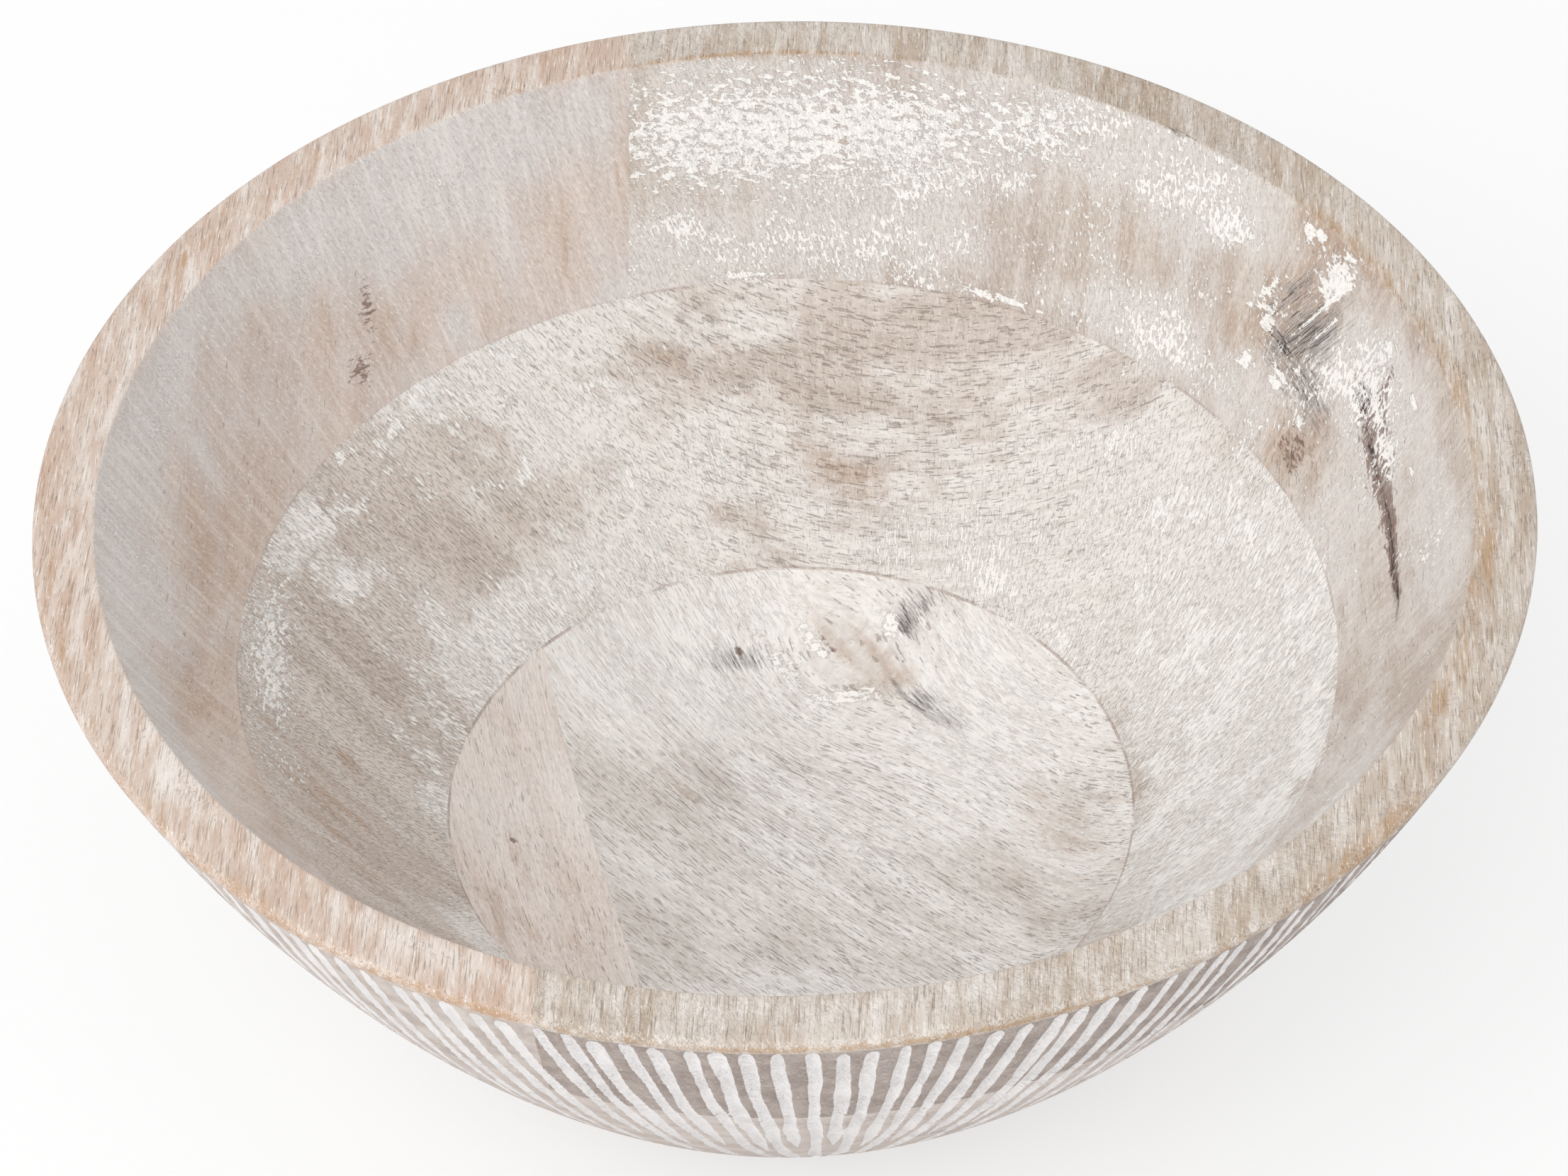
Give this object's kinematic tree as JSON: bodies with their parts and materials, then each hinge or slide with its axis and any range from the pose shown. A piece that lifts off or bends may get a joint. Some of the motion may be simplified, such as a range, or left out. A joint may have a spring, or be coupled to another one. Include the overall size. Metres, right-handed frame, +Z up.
{
  "type": "dough bowl",
  "caption": "Round wooden dough bowl with flared walls, a flat rim and a flat foot, turned from layers of glued boards, whitewashed, with white gouged flutes down the outside.",
  "frame": {"origin": "centre of the flat foot, on the surface that the bowl stands on", "axes": "+Z up along the bowl's axis; +Y to the back, away from the picture's viewer; +X to the viewer's right"},
  "size_m": [0.3, 0.3, 0.127],
  "materials": {
    "top_board_left": "matt whitewash rubbed into smooth pinkish brown wood",
    "top_board_right": "matt whitewash, thick over rough grain, with dark knot streaks",
    "middle_board_back": "matt whitewash over open end grain and streaked long grain",
    "middle_board_front": "thin matt whitewash on smooth pinkish brown wood",
    "base_board_left": "thin matt whitewash on smooth pinkish wood",
    "base_board_right": "thick matt whitewash over slanting open grain with a knot"
  },
  "bodies": {
    "root": {"top_board_left": "top_board_left", "top_board_right": "top_board_right", "middle_board_back": "middle_board_back", "middle_board_front": "middle_board_front", "base_board_left": "base_board_left", "base_board_right": "base_board_right"}
  },
  "joints": []
}
